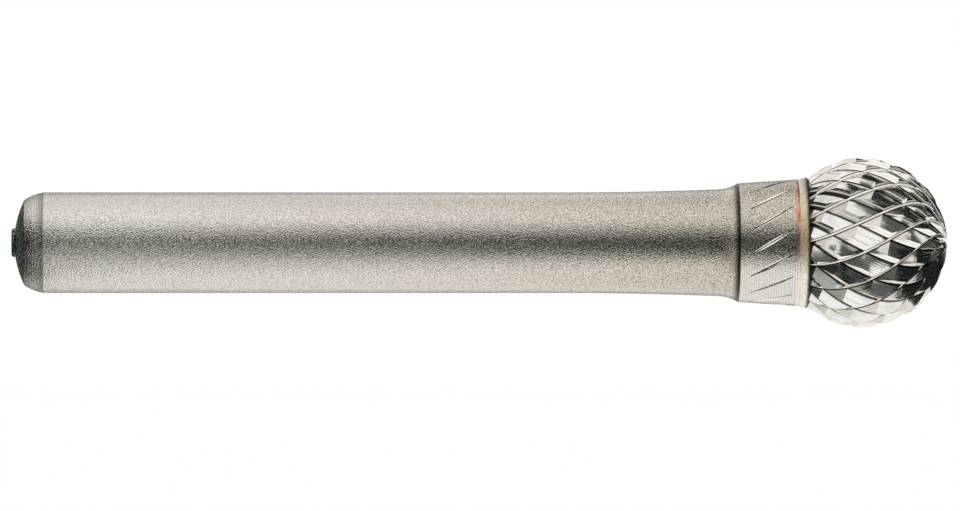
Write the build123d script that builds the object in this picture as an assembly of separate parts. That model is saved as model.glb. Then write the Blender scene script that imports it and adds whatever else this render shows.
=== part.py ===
from build123d import *
import os
from math import asin, atan, atan2, ceil, cos, degrees, floor, radians, sin, sqrt, tan

# Carbide burr with a ball head, double cut.
# Its axis lies along X with the ball towards +X and +Z up. The origin is on the axis, where the
# parallel grip of the shank begins, next to the tail chamfer. Lengths are in millimetres.

# Shank: a turned steel rod that thickens into a collar behind the head
shank_diameter = 6.0
grip_length = 30.9
swell_length = 9.35
neck_diameter = 6.38
flare_length = 1.15
collar_length = 3.4
collar_back_diameter = 7.08
collar_front_diameter = 7.54

# Tail end of the shank: a crowned chamfer, a shallow dome and a small centre button
tail_face_diameter = 5.1
tail_chamfer_length = 1.15
tail_chamfer_crown = 0.05
tail_dome_height = 0.6
button_diameter = 1.72
button_height = 0.16
button_edge_radius = 0.15

# Straight nicks that the crosscut wheel leaves in the collar, one for each crosscut
nick_depth = 0.08
nick_wall_angle = 40.0
nick_lean = 31.0
nick_setback = 1.52
nick_start = -0.5
nick_cutter_length = 4.0

# Braze between the shank and the head
braze_thickness = 0.16
braze_diameter = collar_front_diameter

# Cutting head: a short plain root and a ball cut all over with teeth
ball_diameter = 10.2
root_length = 0.56
root_diameter = 7.8
root_step = 0.02

# Teeth: right-hand flutes, and finer left-hand crosscuts that break them up
flute_count = 21
crosscut_count = 16
tooth_depth = 0.3
flute_face_share = 0.28
crosscut_face_share = 0.2
crosscut_share = 0.6

# Path of a cut over the ball: its turn about the axis is lean * s + sweep * s * s in degrees,
# where s is the angle from the ball's widest circle, towards the shank, over latitude_unit
latitude_unit = 50.0
flute_lean = -25.3
crosscut_lean = 24.2
sweep = -6.6
flute_start = -49.2
crosscut_start = 24.8

# The cuts grow shallow towards the tip, where they run together
full_depth_angle = 30.0
tip_angle = 6.0

shank_radius = shank_diameter / 2
neck_start = grip_length
flare_start = neck_start + swell_length
collar_start = flare_start + flare_length
collar_end = collar_start + collar_length
root_start = collar_end + braze_thickness
teeth_start = root_start + root_length
ball_radius = ball_diameter / 2
teeth_back_radius = root_diameter / 2 - root_step
back_angle = 180 - degrees(asin(teeth_back_radius / ball_radius))
ball_centre = teeth_start - ball_radius * cos(radians(back_angle))
rim_tolerance = 1e-7
rim_digits = 5
flute_pitch = 360 / flute_count
crosscut_pitch = 360 / crosscut_count


def shank_profile():
    """Half section of the shank above its axis."""
    rim = (-tail_chamfer_length, tail_face_diameter / 2)
    dome_radius = (rim[1] ** 2 + tail_dome_height**2) / (2 * tail_dome_height)
    dome_top = -tail_chamfer_length - tail_dome_height
    button_radius = button_diameter / 2
    button_foot = dome_top + dome_radius - sqrt(dome_radius**2 - button_radius**2)
    button_top = dome_top - button_height
    half_rim = rim[1] / 2 + button_radius / 2
    dome_middle = dome_top + dome_radius - sqrt(dome_radius**2 - half_rim**2)
    crown = (rim[0] / 2 - tail_chamfer_crown, (rim[1] + shank_radius) / 2 + tail_chamfer_crown)
    start = (button_top, 0)
    edge_in = (button_top, button_radius - button_edge_radius)
    edge_out = (button_top + button_edge_radius, button_radius)
    foot = (button_foot, button_radius)
    grip_back = (0, shank_radius)
    grip_front = (neck_start, shank_radius)
    neck = (flare_start, neck_diameter / 2)
    collar_back = (collar_start, collar_back_diameter / 2)
    collar_front = (collar_end, collar_front_diameter / 2)
    button_face = Line(start, edge_in)
    button_edge = TangentArc(edge_in, edge_out, tangent=(0, 1))
    button_side = Line(edge_out, foot)
    dome = ThreePointArc(foot, (dome_middle, half_rim), rim)
    chamfer = ThreePointArc(rim, crown, grip_back)
    grip = Line(grip_back, grip_front)
    swell = TangentArc(grip_front, neck, tangent=(1, 0))
    flare = TangentArc(neck, collar_back, tangent=swell % 1)
    collar = Line(collar_back, collar_front)
    end_face = Line(collar_front, (collar_end, 0))
    axis_line = Line((collar_end, 0), start)
    edges = [button_face, button_edge, button_side, dome, chamfer, grip]
    edges += [swell, flare, collar, end_face, axis_line]
    return make_face(edges)


def about_axis(x, radius, turn):
    """Point at a radius from the axis. The turn is in degrees, from -Y towards -Z."""
    return Vector(x, -radius * cos(radians(turn)), -radius * sin(radians(turn)))


def nick_cutter(index):
    """Straight vee laid along the collar's surface, so that it runs out at both ends."""
    turn = nick_start + index * crosscut_pitch
    slope = (collar_front_diameter - collar_back_diameter) / 2 / collar_length
    cone_angle = degrees(atan(slope))
    outward = about_axis(-sin(radians(cone_angle)), cos(radians(cone_angle)), turn)
    forward = about_axis(cos(radians(cone_angle)), sin(radians(cone_angle)), turn)
    around = about_axis(0, 1, turn - 90)
    along = forward * cos(radians(nick_lean)) + around * sin(radians(nick_lean))
    surface_radius = collar_front_diameter / 2 - slope * nick_setback
    bottom = about_axis(collar_end - nick_setback, surface_radius, turn) - outward * nick_depth
    section = Plane(origin=bottom - along * nick_cutter_length / 2, x_dir=outward, z_dir=along)
    height = 2 * nick_depth
    half_width = height * tan(radians(nick_wall_angle))
    vee = section * Polygon((0, 0), (height, -half_width), (height, half_width), align=None)
    return extrude(vee, amount=nick_cutter_length, dir=along)


def make_shank():
    body = revolve(shank_profile(), Axis.X)
    return body - [nick_cutter(index) for index in range(crosscut_count)]


def make_braze():
    end_face = Plane(origin=(collar_end, 0, 0), z_dir=(1, 0, 0))
    return extrude(end_face * Circle(braze_diameter / 2), amount=braze_thickness)


def path_turn(lean, back):
    """Turn of a cut at an angle behind the ball's widest circle, in degrees."""
    s = back / latitude_unit
    return lean * s + sweep * s * s


def back_of_widest(cross, flute):
    """Angle behind the ball's widest circle where two counted cuts meet, in degrees."""
    apart = flute_start - crosscut_start + flute_pitch * flute - crosscut_pitch * cross
    return latitude_unit * apart / (crosscut_lean - flute_lean)


def tooth_point(corner):
    """Point of the cut ball. A corner is (crosscuts counted, flutes counted, depth from 0 to 1)."""
    cross, flute, deep = corner
    back = back_of_widest(cross, flute)
    turn = flute_start + flute_pitch * flute + path_turn(flute_lean, back)
    along = -sin(radians(back))
    around = cos(radians(back))
    drop = tooth_depth * deep * min(1, around / sin(radians(full_depth_angle)))
    if back < 0:
        radius = ball_radius - drop
        return about_axis(ball_centre + radius * along, radius * around, turn)
    return about_axis(ball_centre + ball_radius * along, ball_radius * around - drop, turn)


def cell_facets(cross, flute):
    """Facets between one pair of crosscuts and one pair of flutes.

    Each cut falls from its crest down a steep cutting face and climbs back along a long relief.
    The metal left is what neither cut reaches, so each facet belongs to the deeper of the two."""
    face_a, face_b, foot = crosscut_face_share, flute_face_share, crosscut_share
    pit = (face_a, face_b, 1)
    low_start, low_end = (face_a, 0, 1), (face_a, 1, 1)
    foot_start, foot_end = (foot, 0, 0), (foot, 1, 0)
    left, right = (0, face_b, 1), (1, face_b, 1)
    facets = [
        [(0, 0, 0), low_start, pit],
        [pit, low_end, (0, 1, 0)],
        [(0, 0, 0), pit, left],
        [pit, foot_start, (1, 0, 0), right],
        [low_start, foot_start, pit],
        [pit, foot_end, low_end],
        [left, pit, (0, 1, 0)],
        [pit, right, (1, 1, 0), foot_end],
    ]
    return [[(cross + a, flute + b, deep) for a, b, deep in facet] for facet in facets]


def between(one, other, share):
    return tuple(p + (q - p) * share for p, q in zip(one, other))


def trimmed(facet, limit, side):
    """The part of a facet on one side of the circle at an angle behind the widest one."""
    kept = []
    for start, end in zip(facet, facet[1:] + facet[:1]):
        over_start = side * (back_of_widest(*start[:2]) - limit)
        over_end = side * (back_of_widest(*end[:2]) - limit)
        if over_start <= 0:
            kept.append(start)
        if over_start * over_end < 0:
            kept.append(between(start, end, over_start / (over_start - over_end)))
    return kept


def tooth_triangles():
    """Every triangle of the teeth, from the root to a small ring about the tip."""
    tip_limit = tip_angle - 90
    back_limit = back_angle - 90
    spread = (crosscut_lean - flute_lean) / latitude_unit
    triangles = []
    for flute in range(flute_count):
        turn = flute_start - crosscut_start + flute_pitch * flute
        first = floor((turn - spread * back_limit) / crosscut_pitch) - 1
        last = ceil((turn + flute_pitch - spread * tip_limit) / crosscut_pitch)
        for cross in range(first, last):
            for facet in cell_facets(cross, flute):
                piece = trimmed(trimmed(facet, back_limit, 1), tip_limit, -1)
                for second, third in zip(piece[1:-1], piece[2:]):
                    triangles.append((piece[0], second, third))
    return triangles


def rim(triangles, limit):
    """Points of the teeth along a limiting circle, in order about the axis."""
    points = {}
    for triangle in triangles:
        for corner in triangle:
            if abs(back_of_widest(*corner[:2]) - limit) < rim_tolerance:
                point = tooth_point(corner)
                turn = degrees(atan2(-point.Z, -point.Y))
                points[round(turn, rim_digits)] = point
    return [points[turn] for turn in sorted(points)]


def flat_face(points):
    return Face(Wire.make_polygon(points, close=True))


def make_head():
    """Closed skin of flat facets over the ball, with the plain root behind it."""
    triangles = tooth_triangles()
    faces = [flat_face([tooth_point(corner) for corner in triangle]) for triangle in triangles]
    tip = Vector(ball_centre + ball_radius, 0, 0)
    ring = rim(triangles, tip_angle - 90)
    faces += [flat_face([tip, start, end]) for start, end in zip(ring, ring[1:] + ring[:1])]
    back = Plane(origin=(root_start, 0, 0), z_dir=(1, 0, 0))
    front = Plane(origin=(teeth_start, 0, 0), z_dir=(1, 0, 0))
    back_edge = Wire.make_circle(braze_diameter / 2, back)
    front_edge = Wire.make_circle(root_diameter / 2, front)
    teeth_edge = Wire.make_polygon(rim(triangles, back_angle - 90), close=True)
    faces.append(Face(back_edge))
    faces += Shell.make_loft([back_edge, front_edge]).faces()
    faces.append(Face(front_edge, [teeth_edge]))
    return Solid(Shell(faces))


def main():
    os.makedirs("parts", exist_ok=True)
    export_step(make_shank(), "parts/shank.step")
    export_step(make_braze(), "parts/braze_layer.step")
    export_step(make_head(), "parts/cutting_head.step")


main()
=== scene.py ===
import math

import bpy
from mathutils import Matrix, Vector


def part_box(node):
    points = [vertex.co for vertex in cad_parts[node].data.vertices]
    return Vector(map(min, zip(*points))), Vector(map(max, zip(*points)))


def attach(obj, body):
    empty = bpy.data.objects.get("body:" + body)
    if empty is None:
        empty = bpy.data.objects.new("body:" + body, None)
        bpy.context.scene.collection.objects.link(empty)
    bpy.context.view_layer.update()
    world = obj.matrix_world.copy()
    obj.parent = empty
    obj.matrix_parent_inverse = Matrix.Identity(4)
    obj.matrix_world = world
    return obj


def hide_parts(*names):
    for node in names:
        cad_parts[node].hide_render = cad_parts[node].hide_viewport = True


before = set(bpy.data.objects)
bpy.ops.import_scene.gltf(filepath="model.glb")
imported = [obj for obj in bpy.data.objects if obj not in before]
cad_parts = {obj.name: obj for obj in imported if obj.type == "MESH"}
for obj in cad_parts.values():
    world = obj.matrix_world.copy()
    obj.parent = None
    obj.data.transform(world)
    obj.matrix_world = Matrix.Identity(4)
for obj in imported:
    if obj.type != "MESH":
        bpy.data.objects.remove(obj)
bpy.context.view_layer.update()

mm = 0.001

# Carbide burr seen from the side. The axis runs along X, the ball is at +X, the photograph is taken from -Y.

# Sizes shared by the shank, the braze and the head, in millimetres
burr = {
    "gripRadius": 3.0,
    "gripEnd": 30.9,
    "neckX": 40.25,
    "neckRadius": 3.19,
    "collarX": 41.4,
    "collarBackRadius": 3.54,
    "collarEnd": 44.8,
    "collarFrontRadius": 3.77,
    "brazeEnd": 44.96,
    "rootEnd": 45.52,
    "rootRadius": 3.9,
    "crosscutCount": 16,
    "fluteCount": 21,
}

tolerance = 1e-7
crosscutMark = 10.0    # cutFlow's third value is above this on the crosscuts and below it on the flutes
waveUnit = 0.314       # a wave texture draws one line in this length of its own space
mixShare, mixUnder, mixOver, mixResult = 0, 6, 7, 2    # sockets of a Mix node that mixes colours


def linearColour(value):
    # an sRGB hex colour becomes linear, and any other value stays as it is
    if not isinstance(value, str):
        return value
    channels = [int(value[i:i + 2], 16) / 255 for i in (1, 3, 5)]
    return [c / 12.92 if c <= 0.04045 else ((c + 0.055) / 1.055) ** 2.4 for c in channels] + [1.0]


def addNode(tree, kind, settings=None, links=None):
    # settings are sockets' values, the node's own options, or the stops of a colour ramp
    node = tree.nodes.new("ShaderNode" + kind)
    for name, value in (settings or {}).items():
        if name == "stops":
            elements = node.color_ramp.elements
            while len(elements) < len(value):
                elements.new(0.5)
            for element, (position, colour) in zip(elements, value):
                element.position, element.color = position, linearColour(colour)
        elif isinstance(name, int) or name in node.inputs:
            node.inputs[name].default_value = linearColour(value)
        else:
            setattr(node, name, value)
    for name, source in (links or {}).items():
        tree.links.new(source, node.inputs[name])
    return node


def newMaterial(name):
    material = bpy.data.materials.new(name)
    material.use_nodes = True
    material.node_tree.nodes.clear()
    return material, material.node_tree


def addPiece(name, points, faces, materials, faceSlots=None):
    mesh = bpy.data.meshes.new(name)
    mesh.from_pydata([Vector(point) * mm for point in points], [], faces)
    for material in materials:
        mesh.materials.append(material)
    if faceSlots:
        mesh.polygons.foreach_set("material_index", faceSlots)
    mesh.polygons.foreach_set("use_smooth", [True] * len(faces))
    mesh.update()
    piece = bpy.data.objects.new(name, mesh)
    bpy.context.scene.collection.objects.link(piece)
    return piece


def aboutAxis(x, radius, turn):
    # the turn is in degrees from the camera side downwards
    return (x, -radius * math.cos(math.radians(turn)), -radius * math.sin(math.radians(turn)))


def arcPoints(start, end, startAngle, count):
    # points after start along the arc that leaves start at startAngle degrees and reaches end
    dx, dy = end[0] - start[0], end[1] - start[1]
    turning = 2 * (math.atan2(dy, dx) - math.radians(startAngle))
    points = []
    for k in range(1, count + 1):
        part = turning * k / count
        length = math.hypot(dx, dy) * math.sin(part / 2) / math.sin(turning / 2)
        heading = math.radians(startAngle) + part / 2
        points.append((start[0] + length * math.cos(heading), start[1] + length * math.sin(heading)))
    return points


# Materials. A pair like From Min and From Max says where along the burr, or at which value of a noise, a thing
# begins to show and where it shows fully.

# Blasted steel: turned bar stock blasted with fine grit, so it glows softly and shows a sandy grain
blastedSteelLook = {
    "tone": [(0.3, "#bcb8b0"), (0.62, "#f8f4ec")],
    "grainSize": 0.08,      # mm, each grit mark
    "grainDepth": 0.045,    # mm
    "gripRoughness": 0.13,
    # the blast thins out towards the head and leaves the steel darker and shinier
    "neck": "#f1ede5",
    "neckShare": {"From Min": 5 * mm, "From Max": burr["neckX"] * mm},
    "neckGrainDepth": 0.028,
    "neckRoughness": 0.07,
    # dark pits that show more and more towards the head
    "speck": "#807c73",
    "pitShare": {"From Min": 0.5, "From Max": 0.68},
    "pitsPerGrain": 1.3,
    # turning lines left on the tail chamfer and the underside of the collar, with brighter steel between them
    "turned": "#f3efe7",
    "lineColour": "#cfcbc2",
    "lineSpacing": 0.15,    # mm
    "lineWander": 1.6,
    "lineShare": {"From Min": 0.5, "From Max": 0.95},
    "collarShare": {"From Min": (burr["collarX"] - 0.1) * mm, "From Max": burr["collarX"] * mm},
    "undersideShare": {"From Min": 0.2 * mm, "From Max": -1.6 * mm, "To Max": 0.6},
    "chamferShare": {"From Min": 0.02 * mm, "From Max": -0.06 * mm, "To Max": 0.6},
    # painted shade in the corner where the collar begins, and a darker strip on the chamfer's last turns before the
    # grip
    "cornerShadeAndEdgeDark": "#4a4a48",
    "cornerShare": {"From Min": (burr["collarX"] - 0.5) * mm, "From Max": (burr["collarX"] - 0.02) * mm,
                    "interpolation_type": "SMOOTHERSTEP"},
    "beforeCollar": {"From Min": (burr["collarX"] + 0.04) * mm, "From Max": burr["collarX"] * mm},
    "lastTurnsShare": {"From Min": -0.55 * mm, "From Max": -0.12 * mm, "To Max": 0.55},
    "beforeGrip": {"From Min": 0.02 * mm, "From Max": -0.02 * mm},
    # thin film of braze that ran back over the collar, above the middle and thinner at the very top
    "copper": "#cf9a7c",
    "filmPatchSize": 0.55,  # mm
    "filmWidth": 0.36,      # mm, at its widest
    "filmWander": 0.5,      # mm
    "filmShare": {"From Max": 0.05 * mm, "To Max": 0.8},
    "filmAbove": {"From Min": -0.9 * mm, "From Max": -0.2 * mm},
    "filmTop": {"From Min": 2.6 * mm, "From Max": 3.6 * mm, "To Min": 1.0, "To Max": 0.45},
}


def makeBlastedSteel():
    look = blastedSteelLook
    material, tree = newMaterial("blastedSteel")
    place = addNode(tree, "TexCoord").outputs["Object"]
    parts = addNode(tree, "SeparateXYZ", {}, {"Vector": place})
    along, height = parts.outputs["X"], parts.outputs["Z"]

    grain = addNode(tree, "TexNoise", {"Scale": 1 / (look["grainSize"] * mm), "Detail": 1.0, "Roughness": 0.6},
                    {"Vector": place})
    tone = addNode(tree, "ValToRGB", {"stops": look["tone"]}, {"Fac": grain.outputs["Fac"]})
    near = addNode(tree, "MapRange", look["neckShare"], {"Value": along})
    darker = addNode(tree, "Mix", {"data_type": "RGBA", "blend_type": "MULTIPLY", mixOver: look["neck"]},
                     {mixShare: near.outputs["Result"], mixUnder: tone.outputs["Color"]})
    rough = addNode(tree, "MapRange", {"To Min": look["gripRoughness"], "To Max": look["neckRoughness"]},
                    {"Value": near.outputs["Result"]})
    pits = addNode(tree, "TexNoise", {"Scale": look["pitsPerGrain"] / (look["grainSize"] * mm), "Detail": 1.0},
                   {"Vector": place})
    pitted = addNode(tree, "MapRange", look["pitShare"], {"Value": pits.outputs["Fac"]})
    pittedNear = addNode(tree, "Math", {"operation": "MULTIPLY"},
                         {0: near.outputs["Result"], 1: pitted.outputs["Result"]})
    specked = addNode(tree, "Mix", {"data_type": "RGBA", "blend_type": "MULTIPLY", mixOver: look["speck"]},
                      {mixShare: pittedNear.outputs[0], mixUnder: darker.outputs[mixResult]})

    lines = addNode(tree, "TexWave", {"bands_direction": "X", "Scale": waveUnit / (look["lineSpacing"] * mm),
                                      "Distortion": look["lineWander"], "Detail": 2.0, "Detail Scale": 1.0},
                    {"Vector": place})
    thin = addNode(tree, "MapRange", look["lineShare"], {"Value": lines.outputs["Fac"]})
    turned = addNode(tree, "Mix", {"data_type": "RGBA", mixUnder: look["turned"], mixOver: look["lineColour"]},
                     {mixShare: thin.outputs["Result"]})
    onCollar = addNode(tree, "MapRange", look["collarShare"], {"Value": along})
    below = addNode(tree, "MapRange", look["undersideShare"], {"Value": height})
    onUnderside = addNode(tree, "Math", {"operation": "MULTIPLY"},
                          {0: onCollar.outputs["Result"], 1: below.outputs["Result"]})
    onChamfer = addNode(tree, "MapRange", look["chamferShare"], {"Value": along})
    onTurned = addNode(tree, "Math", {"operation": "MAXIMUM"},
                       {0: onUnderside.outputs[0], 1: onChamfer.outputs["Result"]})
    grooves = addNode(tree, "Mix", {"data_type": "RGBA"},
                      {mixShare: onTurned.outputs[0], mixUnder: specked.outputs[mixResult],
                       mixOver: turned.outputs[mixResult]})

    # painted shade in the corner before the collar, and a darker strip on the chamfer's last turns before the grip
    atCorner = addNode(tree, "MapRange", look["cornerShare"], {"Value": along})
    beforeCollar = addNode(tree, "MapRange", look["beforeCollar"], {"Value": along})
    inCorner = addNode(tree, "Math", {"operation": "MULTIPLY"},
                       {0: atCorner.outputs["Result"], 1: beforeCollar.outputs["Result"]})
    atEdge = addNode(tree, "MapRange", look["lastTurnsShare"], {"Value": along})
    beforeGrip = addNode(tree, "MapRange", look["beforeGrip"], {"Value": along})
    onEdge = addNode(tree, "Math", {"operation": "MULTIPLY"},
                     {0: atEdge.outputs["Result"], 1: beforeGrip.outputs["Result"]})
    cornerShadeAndEdgeDark = addNode(tree, "Math", {"operation": "MAXIMUM"}, {0: inCorner.outputs[0], 1: onEdge.outputs[0]})
    darkened = addNode(tree, "Mix", {"data_type": "RGBA", "blend_type": "MULTIPLY", mixOver: look["cornerShadeAndEdgeDark"]},
                    {mixShare: cornerShadeAndEdgeDark.outputs[0], mixUnder: grooves.outputs[mixResult]})

    cloud = addNode(tree, "TexNoise", {"Scale": 1 / (look["filmPatchSize"] * mm), "Detail": 2.0}, {"Vector": place})
    uneven = addNode(tree, "Math", {"operation": "MULTIPLY_ADD", 1: look["filmWander"] * mm,
                                    2: (burr["collarEnd"] - look["filmWidth"]) * mm}, {0: cloud.outputs["Fac"]})
    pastStart = addNode(tree, "Math", {"operation": "SUBTRACT"}, {0: along, 1: uneven.outputs[0]})
    film = addNode(tree, "MapRange", look["filmShare"], {"Value": pastStart.outputs[0]})
    above = addNode(tree, "MapRange", look["filmAbove"], {"Value": height})
    paler = addNode(tree, "MapRange", look["filmTop"], {"Value": height})
    atHeight = addNode(tree, "Math", {"operation": "MULTIPLY"},
                       {0: above.outputs["Result"], 1: paler.outputs["Result"]})
    filmed = addNode(tree, "Math", {"operation": "MULTIPLY"}, {0: film.outputs["Result"], 1: atHeight.outputs[0]})
    coppery = addNode(tree, "Mix", {"data_type": "RGBA", mixOver: look["copper"]},
                      {mixShare: filmed.outputs[0], mixUnder: darkened.outputs[mixResult]})

    depth = addNode(tree, "MapRange", {"To Min": look["grainDepth"] * mm, "To Max": look["neckGrainDepth"] * mm},
                    {"Value": near.outputs["Result"]})
    bump = addNode(tree, "Bump", {"Strength": 1.0},
                   {"Height": grain.outputs["Fac"], "Distance": depth.outputs["Result"]})
    shader = addNode(tree, "BsdfPrincipled", {"Metallic": 1.0},
                     {"Base Color": coppery.outputs[mixResult], "Roughness": rough.outputs["Result"],
                      "Normal": bump.outputs["Normal"]})
    addNode(tree, "OutputMaterial", {}, {"Surface": shader.outputs["BSDF"]})
    return material


# Cut steel: the crosscut wheel ran on into the collar after the blasting and left bright, smooth nicks
cutSteelLook = {
    "colour": "#f6f1e7",
    "roughness": 0.1,
}


def makeCutSteel():
    look = cutSteelLook
    material, tree = newMaterial("cutSteel")
    shader = addNode(tree, "BsdfPrincipled", {"Base Color": look["colour"], "Metallic": 1.0,
                                              "Roughness": look["roughness"]})
    addNode(tree, "OutputMaterial", {}, {"Surface": shader.outputs["BSDF"]})
    return material


# Scaled steel and painted shade: the scaled end face of the bar, nearly black with a greenish cast, and the same dark
# steel painted as shade in the bottoms of the nicks
scaleAndShadeSteelLook = {
    # in the bottoms of the nicks these tones are painted shade
    "tone": [(0.5, "#151c16"), (0.64, "#d4e6d8")],    # black scale, and bright steel where it has come off
    "roughness": 0.36,
    "grainSize": 0.08,      # mm
    "grainDepth": 0.06,     # mm
}


def makeScaleAndShadeSteel():
    look = scaleAndShadeSteelLook
    material, tree = newMaterial("scaleAndShadeSteel")
    place = addNode(tree, "TexCoord").outputs["Object"]
    grain = addNode(tree, "TexNoise", {"Scale": 1 / (look["grainSize"] * mm), "Detail": 2.0}, {"Vector": place})
    tone = addNode(tree, "ValToRGB", {"stops": look["tone"]}, {"Fac": grain.outputs["Fac"]})
    bump = addNode(tree, "Bump", {"Strength": 1.0, "Distance": look["grainDepth"] * mm},
                   {"Height": grain.outputs["Fac"]})
    shader = addNode(tree, "BsdfPrincipled", {"Metallic": 1.0, "Roughness": look["roughness"]},
                     {"Base Color": tone.outputs["Color"], "Normal": bump.outputs["Normal"]})
    addNode(tree, "OutputMaterial", {}, {"Surface": shader.outputs["BSDF"]})
    return material


# Ground carbide: cut with a diamond wheel, so each facet is nearly a mirror with fine lines along the cut
groundCarbideLook = {
    "tone": [(0.3, "#dcdbd6"), (0.55, "#f5f3ee")],
    "patchSize": 1.1,       # mm, each cloud of dust
    "roughness": 0.06,
    # wheel marks that hold a little dust
    "line": "#d9dad6",
    "lineShare": {"From Min": 0.45, "From Max": 0.7},
    "lineRoughness": 0.3,
    "lineSpacing": 0.07,    # mm, real ones are half of this
    "lineLength": 4.0,      # mm
    "lineDepth": 0.004,     # mm
    "facetJump": 3.7,       # gives each facet other marks than the one beside it
    # the crosscuts were ground with a coarser, drier wheel and look warmer
    "crosscut": "#d6cab2",
    "crosscutShare": {"From Min": crosscutMark - 1, "From Max": crosscutMark, "To Max": 0.45},
    # painted shade, brown-black, at the bottom of the cuts
    "cutShade": "#241c12",
    "cutShadeShare": {"From Min": 0.84, "From Max": 0.93, "To Max": 0.95},
}


def makeGroundCarbide():
    look = groundCarbideLook
    material, tree = newMaterial("groundCarbide")
    flow = addNode(tree, "Attribute", {"attribute_name": "cutFlow"}).outputs["Vector"]
    deep = addNode(tree, "Attribute", {"attribute_name": "cutDepth"}).outputs["Fac"]
    scale = (1 / look["lineLength"], 1 / look["lineSpacing"], look["facetJump"])
    stretch = addNode(tree, "Mapping", {"Scale": scale}, {"Vector": flow})
    lines = addNode(tree, "TexNoise", {"Scale": 1.0, "Detail": 2.0, "Roughness": 0.55},
                    {"Vector": stretch.outputs["Vector"]})
    marks = addNode(tree, "MapRange", look["lineShare"], {"Value": lines.outputs["Fac"]})
    place = addNode(tree, "TexCoord").outputs["Object"]
    cloud = addNode(tree, "TexNoise", {"Scale": 1 / (look["patchSize"] * mm), "Detail": 3.0}, {"Vector": place})
    tone = addNode(tree, "ValToRGB", {"stops": look["tone"]}, {"Fac": cloud.outputs["Fac"]})
    lined = addNode(tree, "Mix", {"data_type": "RGBA", mixOver: look["line"]},
                    {mixShare: marks.outputs["Result"], mixUnder: tone.outputs["Color"]})
    sort = addNode(tree, "SeparateXYZ", {}, {"Vector": flow}).outputs["Z"]
    byCrosscut = addNode(tree, "MapRange", look["crosscutShare"], {"Value": sort})
    warm = addNode(tree, "Mix", {"data_type": "RGBA", "blend_type": "MULTIPLY", mixOver: look["crosscut"]},
                   {mixShare: byCrosscut.outputs["Result"], mixUnder: lined.outputs[mixResult]})
    # painted shade at the bottom of the cuts
    bottom = addNode(tree, "MapRange", look["cutShadeShare"], {"Value": deep})
    cutShaded = addNode(tree, "Mix", {"data_type": "RGBA", mixOver: look["cutShade"]},
                    {mixShare: bottom.outputs["Result"], mixUnder: warm.outputs[mixResult]})
    rough = addNode(tree, "MapRange", {"To Min": look["roughness"], "To Max": look["lineRoughness"]},
                    {"Value": marks.outputs["Result"]})
    bump = addNode(tree, "Bump", {"Strength": 1.0, "Distance": look["lineDepth"] * mm},
                   {"Height": lines.outputs["Fac"]})
    shader = addNode(tree, "BsdfPrincipled", {"Metallic": 1.0},
                     {"Base Color": cutShaded.outputs[mixResult], "Roughness": rough.outputs["Result"],
                      "Normal": bump.outputs["Normal"]})
    addNode(tree, "OutputMaterial", {}, {"Surface": shader.outputs["BSDF"]})
    return material


# Satin carbide: the steep cutting faces, ground last with the worn edge of the wheel, so they stay pale and soft,
# with painted shade along both edges and a painted highlight line, less metallic, across the middle
satinCarbideLook = {
    "colour": "#fbf7ef",
    "step": "#efeae0",
    "cutShade": "#1f180f",
    "roughness": 0.12,
    "stepMetallic": 0.35,
    # places as shares of the depth, from the crest down
    "crestShadeEnd": 0.07,
    "stepStart": 0.4,
    "stepEnd": 0.56,
    "stepBlur": 0.04,
    "cutShadeStart": 0.84,
    "cutShadeFull": 0.95,
}


def makeSatinCarbide():
    look = satinCarbideLook
    material, tree = newMaterial("satinCarbide")
    deep = addNode(tree, "Attribute", {"attribute_name": "cutDepth"}).outputs["Fac"]
    colour, step, cutShade = look["colour"], look["step"], look["cutShade"]
    low, high = look["stepStart"], look["stepEnd"]
    beforeHighlight, afterHighlight = low - look["stepBlur"], high + look["stepBlur"]
    # painted shade at the crest and at the bottom, and a painted highlight line in between
    toneStops = [(0.0, cutShade), (look["crestShadeEnd"], colour), (beforeHighlight, colour), (low, step), (high, step),
                 (afterHighlight, colour), (look["cutShadeStart"], colour), (look["cutShadeFull"], cutShade)]
    tone = addNode(tree, "ValToRGB", {"stops": toneStops}, {"Fac": deep})
    metal, stepMetal = [1.0] * 4, [look["stepMetallic"]] * 3 + [1.0]
    bareStops = [(beforeHighlight, metal), (low, stepMetal), (high, stepMetal), (afterHighlight, metal)]
    bare = addNode(tree, "ValToRGB", {"stops": bareStops}, {"Fac": deep})
    shader = addNode(tree, "BsdfPrincipled", {"Roughness": look["roughness"]},
                     {"Base Color": tone.outputs["Color"], "Metallic": bare.outputs["Color"]})
    addNode(tree, "OutputMaterial", {}, {"Surface": shader.outputs["BSDF"]})
    return material


# Painted highlight: the narrow land beside each crosscut, given a pale, nearly non-metal, rough finish so that it
# is pale from everywhere, with a painted shade line along one edge
paintedHighlightCarbideLook = {
    "colour": "#fffbf3",
    "edge": "#1f180f",
    "edgeShare": {"From Min": 0.62, "From Max": 0.78},
    "metallic": 0.08,
    "roughness": 0.45,
}


def makePaintedHighlightCarbide():
    look = paintedHighlightCarbideLook
    material, tree = newMaterial("paintedHighlightCarbide")
    deep = addNode(tree, "Attribute", {"attribute_name": "cutDepth"}).outputs["Fac"]
    # painted shade line along the land's edge
    border = addNode(tree, "MapRange", look["edgeShare"], {"Value": deep})
    tone = addNode(tree, "Mix", {"data_type": "RGBA", mixUnder: look["colour"], mixOver: look["edge"]},
                   {mixShare: border.outputs["Result"]})
    shader = addNode(tree, "BsdfPrincipled", {"Metallic": look["metallic"], "Roughness": look["roughness"]},
                     {"Base Color": tone.outputs[mixResult]})
    addNode(tree, "OutputMaterial", {}, {"Surface": shader.outputs["BSDF"]})
    return material


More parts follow.
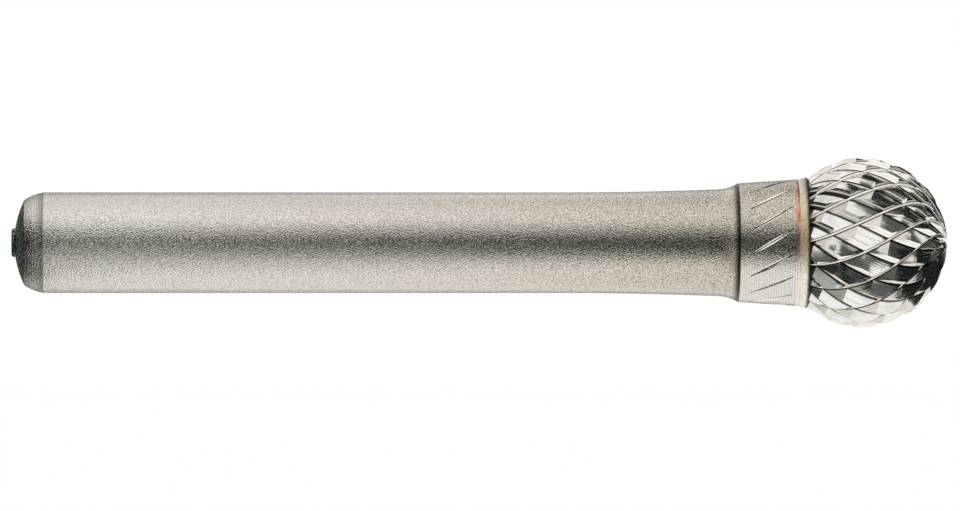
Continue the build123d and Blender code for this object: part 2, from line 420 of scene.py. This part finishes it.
# Heat-tinted carbide: the plain root, cylindrically ground and then straw coloured by the brazing torch
tintedCarbideLook = {
    "colour": "#fdf9f1",
    "metallic": 0.75,       # the tint is an oxide, so part of it is not bare metal
    "roughness": 0.42,
    # the torch tinted a patchy belt just above the middle, and the tint thins out above and below it
    "tint": "#d8c9aa",
    "beltBottom": {"From Min": -2.0 * mm, "From Max": 0.2 * mm},
    "beltTop": {"From Min": 1.0 * mm, "From Max": 3.0 * mm, "To Min": 1.0, "To Max": 0.35},
    "patchSize": 0.38,      # mm, each patch of tint
    "patchStrength": 0.7,
    "patchLevel": -0.25,
    # marks of the grinding wheel, round the root
    "mottle": "#c6b48d",
    "mottleShare": {"From Min": 0.45, "From Max": 0.7, "To Max": 0.75},
    "lineSpacing": 0.08,    # mm
    "lineLength": 0.17,     # mm
    "lineDepth": 0.02,      # mm
    # painted shadow, brown-black, beside the teeth where their shoulder shades the root
    "toothShadow": "#33240f",
    "toothShadowShare": {"From Min": (burr["rootEnd"] - 0.19) * mm, "From Max": (burr["rootEnd"] - 0.05) * mm,
                    "To Max": 0.95},
}


def makeTintedCarbide():
    look = tintedCarbideLook
    material, tree = newMaterial("heatTintedCarbide")
    place = addNode(tree, "TexCoord").outputs["Object"]
    parts = addNode(tree, "SeparateXYZ", {}, {"Vector": place})
    along, height = parts.outputs["X"], parts.outputs["Z"]
    acrossLines, alongLines = 1 / (look["lineSpacing"] * mm), 1 / (look["lineLength"] * mm)
    stretch = addNode(tree, "Mapping", {"Scale": (acrossLines, alongLines, alongLines)}, {"Vector": place})
    lines = addNode(tree, "TexNoise", {"Scale": 1.0, "Detail": 2.0}, {"Vector": stretch.outputs["Vector"]})
    cloud = addNode(tree, "TexNoise", {"Scale": 1 / (look["patchSize"] * mm), "Detail": 3.0}, {"Vector": place})
    bottom = addNode(tree, "MapRange", look["beltBottom"], {"Value": height})
    top = addNode(tree, "MapRange", look["beltTop"], {"Value": height})
    belt = addNode(tree, "Math", {"operation": "MULTIPLY"}, {0: bottom.outputs["Result"], 1: top.outputs["Result"]})
    patchy = addNode(tree, "Math", {"operation": "MULTIPLY_ADD", 1: look["patchStrength"], 2: look["patchLevel"]},
                     {0: cloud.outputs["Fac"]})
    share = addNode(tree, "Math", {"operation": "ADD", "use_clamp": True},
                    {0: belt.outputs[0], 1: patchy.outputs[0]})
    tinted = addNode(tree, "Mix", {"data_type": "RGBA", mixUnder: look["colour"], mixOver: look["tint"]},
                     {mixShare: share.outputs[0]})
    mottle = addNode(tree, "MapRange", look["mottleShare"], {"Value": lines.outputs["Fac"]})
    tone = addNode(tree, "Mix", {"data_type": "RGBA", "blend_type": "MULTIPLY", mixOver: look["mottle"]},
                   {mixShare: mottle.outputs["Result"], mixUnder: tinted.outputs[mixResult]})
    # painted shadow beside the teeth
    nearTeeth = addNode(tree, "MapRange", look["toothShadowShare"], {"Value": along})
    shadowed = addNode(tree, "Mix", {"data_type": "RGBA", mixOver: look["toothShadow"]},
                       {mixShare: nearTeeth.outputs["Result"], mixUnder: tone.outputs[mixResult]})
    bump = addNode(tree, "Bump", {"Strength": 1.0, "Distance": look["lineDepth"] * mm},
                   {"Height": lines.outputs["Fac"]})
    shader = addNode(tree, "BsdfPrincipled", {"Metallic": look["metallic"], "Roughness": look["roughness"]},
                     {"Base Color": shadowed.outputs[mixResult], "Normal": bump.outputs["Normal"]})
    addNode(tree, "OutputMaterial", {}, {"Surface": shader.outputs["BSDF"]})
    return material


# Copper braze: melted in the joint and turned flush, so it shows as a warm orange line that comes and goes
copperBrazeLook = {
    "tone": [(0.38, "#b0603a"), (0.55, "#db9573")],
    "patchSize": 0.7,       # mm, each patch of bare or covered copper
    "roughness": 0.36,
    "grainDepth": 0.02,     # mm
    # steel dragged over the copper by the turning tool, most of it below the middle
    "smear": "#f3e9d8",
    "smearBelow": {"From Min": -0.3 * mm, "From Max": -1.0 * mm, "To Min": 0.1, "To Max": 0.95},
    "smearPatches": {"From Min": 0.45, "From Max": 0.7, "To Max": 0.45},
}


def makeCopperBraze():
    look = copperBrazeLook
    material, tree = newMaterial("copperBraze")
    place = addNode(tree, "TexCoord").outputs["Object"]
    height = addNode(tree, "SeparateXYZ", {}, {"Vector": place}).outputs["Z"]
    cloud = addNode(tree, "TexNoise", {"Scale": 1 / (look["patchSize"] * mm), "Detail": 3.0}, {"Vector": place})
    tone = addNode(tree, "ValToRGB", {"stops": look["tone"]}, {"Fac": cloud.outputs["Fac"]})
    below = addNode(tree, "MapRange", look["smearBelow"], {"Value": height})
    patchy = addNode(tree, "MapRange", look["smearPatches"], {"Value": cloud.outputs["Fac"]})
    share = addNode(tree, "Math", {"operation": "MAXIMUM"}, {0: below.outputs["Result"], 1: patchy.outputs["Result"]})
    colour = addNode(tree, "Mix", {"data_type": "RGBA", mixOver: look["smear"]},
                     {mixShare: share.outputs[0], mixUnder: tone.outputs["Color"]})
    bump = addNode(tree, "Bump", {"Strength": 1.0, "Distance": look["grainDepth"] * mm},
                   {"Height": cloud.outputs["Fac"]})
    shader = addNode(tree, "BsdfPrincipled", {"Metallic": 1.0, "Roughness": look["roughness"]},
                     {"Base Color": colour.outputs[mixResult], "Normal": bump.outputs["Normal"]})
    addNode(tree, "OutputMaterial", {}, {"Surface": shader.outputs["BSDF"]})
    return material


blastedSteel = makeBlastedSteel()
scaleAndShadeSteel = makeScaleAndShadeSteel()
cutSteel = makeCutSteel()
groundCarbide = makeGroundCarbide()
satinCarbide = makeSatinCarbide()
paintedHighlightCarbide = makePaintedHighlightCarbide()
tintedCarbide = makeTintedCarbide()
copperBraze = makeCopperBraze()
print("materials made")


# Shank: one turned rod from the centre button at the tail to the collar's front face
shank = {
    "buttonRadius": 0.86,
    "buttonHeight": 0.16,
    "buttonEdge": 0.15,
    "faceX": -1.15,
    "faceRadius": 2.55,
    "domeHeight": 0.6,
    "crown": 0.05,
    "toolMarkPitch": 0.14,
    "toolMarkHeight": 0.004,
    "toolMarkLean": 0.4,    # how far a mark goes in towards the axis, as a share of how far it goes along it
    "toolMarkFade": 6,      # the marks run out over this many rings before the next edge
    "nickDepth": 0.08,
    "nickWall": 54.0,       # wider than the solid's, so that the walls mirror the studio and not each other
    "nickLean": 31.0,
    "nickSetback": 1.52,
    "nickStart": -0.5,
    # nickBottom: degrees each side of a nick's line whose bottom gets the dark steel as painted shade
    "nickBottom": 0.8,      # degrees each side, where the scale stays in the bottom
    "nickColumns": [0, 0.65, 1.05, 1.45, 1.8, 2.15, 2.6, 4.5, 7.8],    # degrees from the nick's own line
    "edgeAngle": 24,        # degrees, a sharper turn than this shows as an edge
    # rings along each length of the profile
    "buttonRings": 4,
    "buttonEdgeRings": 5,
    "domeRings": 60,
    "chamferRings": 56,
    "gripRings": 24,
    "swellRings": 20,
    "flareRings": 12,
    "collarRings": 66,
}


def threePointArc(start, middle, end, count):
    # circle through three points, then points after start
    (x1, y1), (x2, y2), (x3, y3) = start, middle, end
    d = 2 * (x1 * (y2 - y3) + x2 * (y3 - y1) + x3 * (y1 - y2))
    s1, s2, s3 = x1 * x1 + y1 * y1, x2 * x2 + y2 * y2, x3 * x3 + y3 * y3
    cx = (s1 * (y2 - y3) + s2 * (y3 - y1) + s3 * (y1 - y2)) / d
    cy = (s1 * (x3 - x2) + s2 * (x1 - x3) + s3 * (x2 - x1)) / d
    radius = math.hypot(x1 - cx, y1 - cy)
    a1, a3 = math.atan2(y1 - cy, x1 - cx), math.atan2(y3 - cy, x3 - cx)
    sweep = (a3 - a1 + math.pi) % (2 * math.pi) - math.pi
    return [(cx + radius * math.cos(a1 + sweep * k / count), cy + radius * math.sin(a1 + sweep * k / count))
            for k in range(1, count + 1)]


def toolMarks(points, start):
    # lowers a turned surface in fine waves, as a pointed tool leaves it
    marked, length, last = [], 0, start
    for k, (x, y) in enumerate(points):
        length += math.hypot(x - last[0], y - last[1])
        last = (x, y)
        drop = shank["toolMarkHeight"] * (0.5 - 0.5 * math.cos(2 * math.pi * length / shank["toolMarkPitch"]))
        fade = min(1, (len(points) - 1 - k) / shank["toolMarkFade"])
        marked.append((x + drop * fade, y - drop * fade * shank["toolMarkLean"]))
    return marked


def shankProfile():
    s = shank
    rim = (s["faceX"], s["faceRadius"])
    domeRadius = (rim[1] ** 2 + s["domeHeight"] ** 2) / (2 * s["domeHeight"])
    domeTop = s["faceX"] - s["domeHeight"]
    buttonTop = domeTop - s["buttonHeight"]
    foot = (domeTop + domeRadius - math.sqrt(domeRadius ** 2 - s["buttonRadius"] ** 2), s["buttonRadius"])
    halfRadius = (rim[1] + s["buttonRadius"]) / 2
    domeMiddle = (domeTop + domeRadius - math.sqrt(domeRadius ** 2 - halfRadius ** 2), halfRadius)
    crown = (rim[0] / 2 - s["crown"], (rim[1] + burr["gripRadius"]) / 2 + s["crown"])
    flat = s["buttonRadius"] - s["buttonEdge"]
    gripBack, gripFront = (0, burr["gripRadius"]), (burr["gripEnd"], burr["gripRadius"])
    neck, collarBack = (burr["neckX"], burr["neckRadius"]), (burr["collarX"], burr["collarBackRadius"])
    swellEnd = 2 * math.degrees(math.atan2(neck[1] - gripFront[1], neck[0] - gripFront[0]))
    points = [(buttonTop, flat * k / s["buttonRings"]) for k in range(1, s["buttonRings"] + 1)]
    points += arcPoints((buttonTop, flat), (buttonTop + s["buttonEdge"], s["buttonRadius"]), 90, s["buttonEdgeRings"])
    points += [foot]
    points += toolMarks(threePointArc(foot, domeMiddle, rim, s["domeRings"]), foot)
    points += toolMarks(threePointArc(rim, crown, gripBack, s["chamferRings"]), rim)
    points += [(gripFront[0] * k / s["gripRings"], gripFront[1]) for k in range(1, s["gripRings"] + 1)]
    points += arcPoints(gripFront, neck, 0, s["swellRings"])
    points += arcPoints(neck, collarBack, swellEnd, s["flareRings"])
    length = burr["collarEnd"] - burr["collarX"]
    rise = burr["collarFrontRadius"] - burr["collarBackRadius"]
    points += [(collarBack[0] + length * k / s["collarRings"], collarBack[1] + rise * k / s["collarRings"])
               for k in range(1, s["collarRings"] + 1)]
    return (buttonTop, 0), points


def nickDrop(x, offset):
    # depth of a nick at a distance in degrees from its own line
    s = shank
    if x < burr["collarX"]:
        return 0
    slope = (burr["collarFrontRadius"] - burr["collarBackRadius"]) / (burr["collarEnd"] - burr["collarX"])
    radius = burr["collarFrontRadius"] - slope * (burr["collarEnd"] - x)
    lean = math.radians(s["nickLean"])
    along = (x - (burr["collarEnd"] - s["nickSetback"])) / math.cos(lean)
    across = math.radians(abs(offset)) * radius * math.cos(lean)
    bend = radius / math.sin(lean) ** 2
    return max(0, s["nickDepth"] - along ** 2 / (2 * bend) - across / math.tan(math.radians(s["nickWall"])))


def makeShank():
    s = shank
    start, profile = shankProfile()
    pitch = 360 / burr["crosscutCount"]
    offsets = [-c for c in s["nickColumns"][:0:-1]] + s["nickColumns"] + [pitch / 2]
    columns = [(n, offset) for n in range(burr["crosscutCount"]) for offset in offsets]
    count = len(columns)
    lean = math.tan(math.radians(s["nickLean"]))
    middle = burr["collarEnd"] - s["nickSetback"]
    middleRadius = (burr["collarBackRadius"] + burr["collarFrontRadius"]) / 2
    blasted, scaleAndShade, cut = range(3)
    points, faces, slots = [], [], []
    for x, radius in profile:
        # along the collar the columns lean with the nicks
        shear = -math.degrees((max(x, burr["collarX"]) - middle) * lean / middleRadius)
        for n, offset in columns:
            points.append(aboutAxis(x, radius - nickDrop(x, offset), s["nickStart"] + n * pitch + offset + shear))
    points += [(start[0], 0, 0), (burr["collarEnd"], 0, 0)]
    startPole, endPole = len(points) - 2, len(points) - 1
    last = (len(profile) - 1) * count
    for k in range(count):
        after = (k + 1) % count
        faces.append((startPole, after, k))
        faces.append((endPole, last + k, last + after))
        slots += [scaleAndShade, blasted]
        for ring in range(len(profile) - 1):
            a = ring * count
            faces.append((a + k, a + after, a + count + after, a + count + k))
            x = profile[ring + 1][0]
            here, there = columns[k][1], columns[after][1]
            nicked = max(nickDrop(x, here), nickDrop(x, there)) > 0
            # the bottoms of the nicks get the dark steel as painted shade
            bottom = nicked and abs(here) < s["nickBottom"] and abs(there) < s["nickBottom"]
            endFaceOrNickBottom = bottom or x < s["faceX"] + tolerance
            slots.append(scaleAndShade if endFaceOrNickBottom else cut if nicked else blasted)
    piece = addPiece("shankRod", points, faces, [blastedSteel, scaleAndShadeSteel, cutSteel], slots)
    piece.data.set_sharp_from_angle(angle=math.radians(s["edgeAngle"]))
    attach(piece, "root")
    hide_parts("shank")


makeShank()
print("shank made")


# Braze: thin layer of copper that filled the joint, with its rim a little rounded
braze = {
    # share of the thickness, and mm beyond the collar's radius
    "rings": [(0.0, -0.012), (0.2, -0.002), (0.5, 0.0), (0.8, -0.002), (1.0, -0.012)],
    "columns": 240,
    "edgeAngle": 40,        # degrees
}


def makeBraze():
    points, faces = [], []
    count = braze["columns"]
    width = burr["brazeEnd"] - burr["collarEnd"]
    for part, lift in braze["rings"]:
        x = burr["collarEnd"] + width * part
        for k in range(count):
            points.append(aboutAxis(x, burr["collarFrontRadius"] + lift, 360 * k / count))
    points += [(burr["collarEnd"], 0, 0), (burr["brazeEnd"], 0, 0)]
    last = (len(braze["rings"]) - 1) * count
    for k in range(count):
        after = (k + 1) % count
        faces.append((len(points) - 2, after, k))
        faces.append((len(points) - 1, last + k, last + after))
        for ring in range(len(braze["rings"]) - 1):
            a = ring * count
            faces.append((a + k, a + after, a + count + after, a + count + k))
    piece = addPiece("brazeSeam", points, faces, [copperBraze])
    piece.data.set_sharp_from_angle(angle=math.radians(braze["edgeAngle"]))
    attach(piece, "root")
    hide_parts("braze_layer")


makeBraze()
print("braze made")


# Cutting head: the plain root and the ball, with the same cuts as the solid and finer facets
head = {
    "ballRadius": 5.1,
    "latitudeUnit": 50.0,   # degrees along the ball for which the leans and the sweep are given
    "fluteLean": -25.3,
    "crosscutLean": 24.2,
    "sweep": -6.6,
    "fluteStart": -49.2,
    "crosscutStart": 24.8,
    "depth": 0.3,
    # widths as shares of the distance to the next cut
    "fluteFace": 0.28,
    "crosscutFace": 0.2,
    "crosscutWidth": 0.6,
    "landWidth": 0.085,
    "rootStep": 0.02,
    "bevel": 0.015,
    "fullDepthAngle": 30.0,
    "tipAngle": 6.0,
    "splits": 4,            # parts along each side of a facet
    "crosscutSpacing": 1.9,     # mm between cuts, for the wheel marks
    "fluteSpacing": 1.45,
    "markSorts": 7,         # facets with wheel marks of their own before the marks repeat
    "boxMargin": 0.001,     # mm that the crests stay inside the solid's box
}
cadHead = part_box("cutting_head")
head["radius"] = min(cadHead[1].y, cadHead[1].z, -cadHead[0].y, -cadHead[0].z) / mm - head["boxMargin"]
head["backAngle"] = 180 - math.degrees(math.asin((burr["rootRadius"] - head["rootStep"]) / head["ballRadius"]))
head["centre"] = burr["rootEnd"] - head["ballRadius"] * math.cos(math.radians(head["backAngle"]))


def backOfWidest(cross, flute):
    # degrees behind the ball's widest circle where two counted cuts meet
    apart = head["fluteStart"] - head["crosscutStart"]
    apart += flute * 360 / burr["fluteCount"] - cross * 360 / burr["crosscutCount"]
    return head["latitudeUnit"] * apart / (head["crosscutLean"] - head["fluteLean"])


def toothPoint(corner):
    # a corner is crosscuts counted, flutes counted and a depth from 0 to 1
    cross, flute, deep = corner
    back = backOfWidest(cross, flute)
    s = back / head["latitudeUnit"]
    turn = head["fluteStart"] + flute * 360 / burr["fluteCount"] + head["fluteLean"] * s + head["sweep"] * s * s
    along, around = -math.sin(math.radians(back)), math.cos(math.radians(back))
    drop = head["depth"] * deep * min(1, around / math.sin(math.radians(head["fullDepthAngle"])))
    if back < 0:
        radius = head["radius"] - drop
        return aboutAxis(head["centre"] + radius * along, radius * around, turn)
    return aboutAxis(head["centre"] + head["ballRadius"] * along, head["radius"] * around - drop, turn)


def cellFacets(cross, flute):
    # every facet between two crosscuts and two flutes, and which cut made it
    faceA, faceB, foot = head["crosscutFace"], head["fluteFace"], head["crosscutWidth"]
    pit = (faceA, faceB, 1)
    lowStart, lowEnd, footStart, footEnd = (faceA, 0, 1), (faceA, 1, 1), (foot, 0, 0), (foot, 1, 0)
    left, right = (0, faceB, 1), (1, faceB, 1)
    facets = [
        ("crosscutFace", [(0, 0, 0), lowStart, pit]),
        ("crosscutFace", [pit, lowEnd, (0, 1, 0)]),
        ("fluteFace", [(0, 0, 0), pit, left]),
        ("fluteFace", [pit, footStart, (1, 0, 0), right]),
        ("crosscutRelief", [lowStart, footStart, pit]),
        ("crosscutRelief", [pit, footEnd, lowEnd]),
        ("fluteRelief", [left, pit, (0, 1, 0)]),
        ("fluteRelief", [pit, right, (1, 1, 0), footEnd]),
    ]
    return [(kind, [(cross + a, flute + b, deep) for a, b, deep in corners]) for kind, corners in facets]


def between(one, other, share):
    return tuple(p + (q - p) * share for p, q in zip(one, other))


def trimmed(corners, limit, side):
    # the part of a facet on one side of a circle round the ball
    kept = []
    for start, end in zip(corners, corners[1:] + corners[:1]):
        overStart = side * (backOfWidest(*start[:2]) - limit)
        overEnd = side * (backOfWidest(*end[:2]) - limit)
        if overStart <= 0:
            kept.append(start)
        if overStart * overEnd < 0:
            kept.append(between(start, end, overStart / (overStart - overEnd)))
    return kept


def beforeLine(corners, cross, side):
    # the part of a facet on one side of a line along the crosscuts
    kept = []
    for start, end in zip(corners, corners[1:] + corners[:1]):
        overStart, overEnd = side * (start[0] - cross), side * (end[0] - cross)
        if overStart <= 0:
            kept.append(start)
        if overStart * overEnd < -tolerance ** 2:
            kept.append(between(start, end, overStart / (overStart - overEnd)))
    return kept


def withLands(cross, flute):
    # the facets of a cell, with a narrow land cut off those on the crosscut's own side
    line = cross + head["crosscutFace"] - head["landWidth"]
    for kind, corners in cellFacets(cross, flute):
        if max(corner[0] for corner in corners) > cross + head["crosscutFace"] + tolerance:
            yield kind, corners
        else:
            yield kind, beforeLine(corners, line, 1)
            yield "land", beforeLine(corners, line, -1)


def splitTriangle(a, b, c, parts):
    rows = []
    for i in range(parts + 1):
        one, other = between(a, b, i / parts), between(a, c, i / parts)
        rows.append([between(one, other, j / i) if i else a for j in range(i + 1)])
    pieces = []
    for i in range(parts):
        for j in range(i + 1):
            pieces.append((rows[i][j], rows[i + 1][j], rows[i + 1][j + 1]))
            if j < i:
                pieces.append((rows[i][j], rows[i + 1][j + 1], rows[i][j + 1]))
    return pieces


def toothTriangles():
    tipLimit, backLimit = head["tipAngle"] - 90, head["backAngle"] - 90
    pitchA, pitchB = 360 / burr["crosscutCount"], 360 / burr["fluteCount"]
    spread = (head["crosscutLean"] - head["fluteLean"]) / head["latitudeUnit"]
    triangles, facetNumber = [], 0
    for flute in range(burr["fluteCount"]):
        turn = head["fluteStart"] - head["crosscutStart"] + pitchB * flute
        first = math.floor((turn - spread * backLimit) / pitchA) - 1
        last = math.ceil((turn + pitchB - spread * tipLimit) / pitchA)
        for cross in range(first, last):
            for kind, corners in withLands(cross, flute):
                facetNumber += 1
                corners = trimmed(trimmed(corners, backLimit, 1), tipLimit, -1)
                for second, third in zip(corners[1:-1], corners[2:]):
                    for triangle in splitTriangle(corners[0], third, second, head["splits"]):
                        triangles.append((kind, facetNumber, triangle))
    return triangles


def markPlace(kind, number, cross, flute):
    # where a corner lies along and across the wheel marks in mm, and a number that sets each facet's marks apart
    byCrosscut, byFlute = cross * head["crosscutSpacing"], flute * head["fluteSpacing"]
    own = 1.0 + number % head["markSorts"]
    if kind.startswith("flute"):
        return (byCrosscut, byFlute, own)
    return (byFlute, byCrosscut, crosscutMark + own)


def paintedLightDepth(kind, cross, deep):
    # share of the depth in a cut, and on a land the share of its width, which place the painted shade and highlight
    if kind != "land":
        return deep
    across = ((head["crosscutFace"] - cross) % 1) / head["landWidth"]
    return 0 if across > 2 else across      # rounding can turn 0 into a whole cut


def makeHead():
    points, places, faces, surfaces, slots, flows, depths = [], {}, [], [], [], [], []
    ground, tinted, satin, highlightLand = range(4)

    def placeOf(point):
        # corners less than a tenth of a micron apart are one
        key = tuple(round(value, 4) for value in point)
        if key not in places:
            places[key] = len(points)
            points.append(point)
        return places[key]

    def addFace(face, surface, slot, flow=None, depth=None):
        # an edge between two surfaces is sharp
        faces.append(face)
        surfaces.append(surface)
        slots.append(slot)
        flows.extend(flow or [(0, 0, 0)] * len(face))
        depths.extend(depth or [0.0] * len(face))

    rims = {"tip": {}, "back": {}}
    limits = {"tip": head["tipAngle"] - 90, "back": head["backAngle"] - 90}
    for kind, number, triangle in toothTriangles():
        face = []
        for corner in triangle:
            point = toothPoint(corner)
            face.append(placeOf(point))
            for end, limit in limits.items():
                if abs(backOfWidest(*corner[:2]) - limit) < tolerance:
                    rims[end][face[-1]] = math.atan2(-point[2], -point[1])
        if len(set(face)) == 3:
            slot = highlightLand if kind == "land" else satin if kind.endswith("Face") else ground
            marks = [markPlace(kind, number, cross, flute) for cross, flute, deep in triangle]
            paintedLightDepths = [paintedLightDepth(kind, cross, deep) for cross, flute, deep in triangle]
            addFace(tuple(face), number, slot, marks, paintedLightDepths)

    tip = placeOf((head["centre"] + head["radius"], 0, 0))
    ring = sorted(rims["tip"], key=rims["tip"].get)
    for one, other in zip(ring, ring[1:] + ring[:1]):
        addFace((tip, one, other), "tip", ground)

    # the root runs back from the teeth in rings, each with the surface before it
    rim = sorted(rims["back"], key=rims["back"].get)
    bevel, front, back = head["bevel"], burr["rootEnd"], burr["brazeEnd"]
    rings = [("shoulder", front, burr["rootRadius"] - bevel), ("root", front - bevel, burr["rootRadius"]),
             ("root", back + bevel, burr["collarFrontRadius"]),
             ("backBevel", back, burr["collarFrontRadius"] - bevel)]
    previous = rim
    for surface, x, radius in rings:
        current = list(range(len(points), len(points) + len(rim)))
        points.extend(aboutAxis(x, radius, math.degrees(rims["back"][k])) for k in rim)
        for k in range(len(rim)):
            after = (k + 1) % len(rim)
            addFace((previous[k], current[k], current[after], previous[after]), surface, tinted)
        previous = current
    middle = len(points)
    points.append((back, 0, 0))
    for k in range(len(rim)):
        addFace((middle, previous[(k + 1) % len(rim)], previous[k]), "back", tinted)

    piece = addPiece("burrHead", points, faces, [groundCarbide, tintedCarbide, satinCarbide, paintedHighlightCarbide], slots)
    mesh = piece.data
    flow = mesh.attributes.new("cutFlow", "FLOAT_VECTOR", "CORNER")
    flow.data.foreach_set("vector", [value for one in flows for value in one])
    mesh.attributes.new("cutDepth", "FLOAT", "CORNER").data.foreach_set("value", depths)
    sides = {}
    for face, surface in zip(faces, surfaces):
        for one, other in zip(face, face[1:] + face[:1]):
            sides.setdefault((min(one, other), max(one, other)), set()).add(surface)
    sharp = [len(sides[tuple(sorted(line.vertices))]) > 1 for line in mesh.edges]
    mesh.attributes.new("sharp_edge", "BOOLEAN", "EDGE").data.foreach_set("value", sharp)
    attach(piece, "root")
    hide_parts("cutting_head")
    print("head triangles", len(faces))


makeHead()
print("head made")


# Stage: white floor well below, white surround, one soft panel overhead and grey cards round the object
stage = {
    "floorZ": -60.0,
    "floorSize": 4000.0,
    "floorColour": "#ffffff",
    "floorRoughness": 0.8,
    "panelSize": (0.5, 0.36),           # metres
    "panelPlace": (0.025, 0, 0.42),     # metres
    "panelPower": 0.015,
    "cardRadius": 80.0,
    "cardSplits": 8,
    "cardRoughness": 0.9,
    # each card: degrees round from the photograph's side towards the tip, degrees above level, colour
    "cards": {
        "lensTipCard": (-3, 22, -12, 14, "#636664"),
        "lensCard": (-13, -3, -33, 14, "#101a19"),
        "lensTailCard": (-20, -13, -29, 14, "#464a46"),
        "underLensCard": (-3, 22, -30, -12, "#222826"),
        "overLensTailCard": (-15, -3, 14, 26, "#4b4f4c"),
        "highLensCard": (-15, -3, 26, 42, "#646764"),
        "overLensCard": (-3, 22, 14, 24, "#262c2a"),
        "tailFrontCard": (-36, -20, -3, 27, "#5b5e5b"),
        "tailHighCard": (-62, -36, 9, 20, "#8c8d8a"),
        "tailMiddleCard": (-62, -36, -8, 9, "#191b1a"),
        "tailLowCard": (-50, -20, -16, -3, "#a3a5a2"),
        "tailUnderCard": (-66, -20, -44, -16, "#b4b6b3"),
        "tailSideCard": (-104, -62, -12, 18, "#171917"),
        "tailSideLowCard": (-110, -68, -52, -12, "#3f423f"),
        "tipFrontHighCard": (22, 58, 1, 14, "#505451"),
        "tipFrontCard": (44, 58, -24, 48, "#3a3e3c"),
        "tipLowCard": (24, 58, -45, -24, "#565b59"),
        "tipCard": (58, 125, -36, 22, "#0a1211"),
        "tipHighCard": (58, 100, 22, 58, "#545856"),
        "tipTopCard": (40, 100, 58, 84, "#6c6e6b"),
        "backTipCard": (100, 181, 32, 84, "#1e2120"),
        "tipBackCard": (125, 168, 8, 32, "#262927"),
        "backCard": (168, 256, -24, 24, "#8a8987"),
        "tailTopCard": (208, 292, 26, 72, "#eae8e5"),
        "tailBottomCard": (212, 285, -75, -35, "#e4e2de"),
    },
}


def flatMaterial(name, colour, roughness):
    material, tree = newMaterial(name)
    shader = addNode(tree, "BsdfPrincipled", {"Base Color": colour, "Roughness": roughness})
    addNode(tree, "OutputMaterial", {}, {"Surface": shader.outputs["BSDF"]})
    return material


def makeCard(name, roundLow, roundHigh, low, high, colour):
    # curved card, a patch of a sphere about the ball
    radius, splits = stage["cardRadius"], stage["cardSplits"]
    width = splits + 1
    points, faces = [], []
    for i in range(width):
        for j in range(width):
            turn = math.radians(roundLow + (roundHigh - roundLow) * i / splits)
            height = math.radians(low + (high - low) * j / splits)
            points.append((head["centre"] + radius * math.sin(turn) * math.cos(height),
                           -radius * math.cos(turn) * math.cos(height), radius * math.sin(height)))
            if i and j:
                k = i * width + j
                faces.append((k - width - 1, k - 1, k, k - width))
    card = addPiece(name, points, faces, [flatMaterial(name, colour, stage["cardRoughness"])])
    card.visible_camera = False      # stands between the lens and the object, so it shows only as a reflection
    card.visible_diffuse = False
    card.visible_shadow = False
    card.visible_transmission = False


def makeStage():
    size, z = stage["floorSize"], stage["floorZ"]
    floor = addPiece("floor", [(-size, -size, z), (size, -size, z), (size, size, z), (-size, size, z)],
                     [(0, 1, 2, 3)], [flatMaterial("matteFloor", stage["floorColour"], stage["floorRoughness"])])
    for name, card in stage["cards"].items():
        makeCard(name, *card)

    world = bpy.data.worlds.new("studio")
    world.use_nodes = True
    tree = world.node_tree
    tree.nodes.clear()
    background = addNode(tree, "Background", {"Color": (1, 1, 1, 1), "Strength": 1.0})
    addNode(tree, "OutputWorld", {}, {"Surface": background.outputs["Background"]})
    bpy.context.scene.world = world

    panel = bpy.data.lights.new("softPanel", "AREA")
    panel.shape = "RECTANGLE"
    panel.size, panel.size_y = stage["panelSize"]
    panel.energy = stage["panelPower"]
    lamp = bpy.data.objects.new("softPanel", panel)
    lamp.location = stage["panelPlace"]
    bpy.context.scene.collection.objects.link(lamp)


makeStage()

# Camera: a long lens 0.63 m away, opposite a point near the tail and turned a little towards the head
view = {
    "pixelsPerMm": 16.77,
    "imageWidth": 960,
    "imageHeight": 511,
    "ballPixel": (862.1, 242.7),
    "standX": 10.0,
    "distance": 627.0,
    "sensorWidth": 36.0,
    "clip": (0.01, 10.0),    # metres
}


def makeCamera():
    reach = view["pixelsPerMm"] * view["distance"]
    toBall = math.atan2(head["centre"] - view["standX"], view["distance"])
    turn = toBall - math.atan2(view["ballPixel"][0] - view["imageWidth"] / 2, reach)
    height = (view["ballPixel"][1] - view["imageHeight"] / 2) / view["pixelsPerMm"]
    camera = bpy.data.cameras.new("camera")
    camera.sensor_width = view["sensorWidth"]
    camera.lens = view["sensorWidth"] * reach / view["imageWidth"]
    camera.clip_start, camera.clip_end = view["clip"]
    place = bpy.data.objects.new("camera", camera)
    place.location = Vector((view["standX"], -view["distance"], height)) * mm
    place.rotation_euler = (math.radians(90), 0, -turn)
    bpy.context.scene.collection.objects.link(place)
    bpy.context.scene.camera = place


makeCamera()
bpy.context.scene.view_settings.view_transform = "Standard"
print("stage, light and camera made")
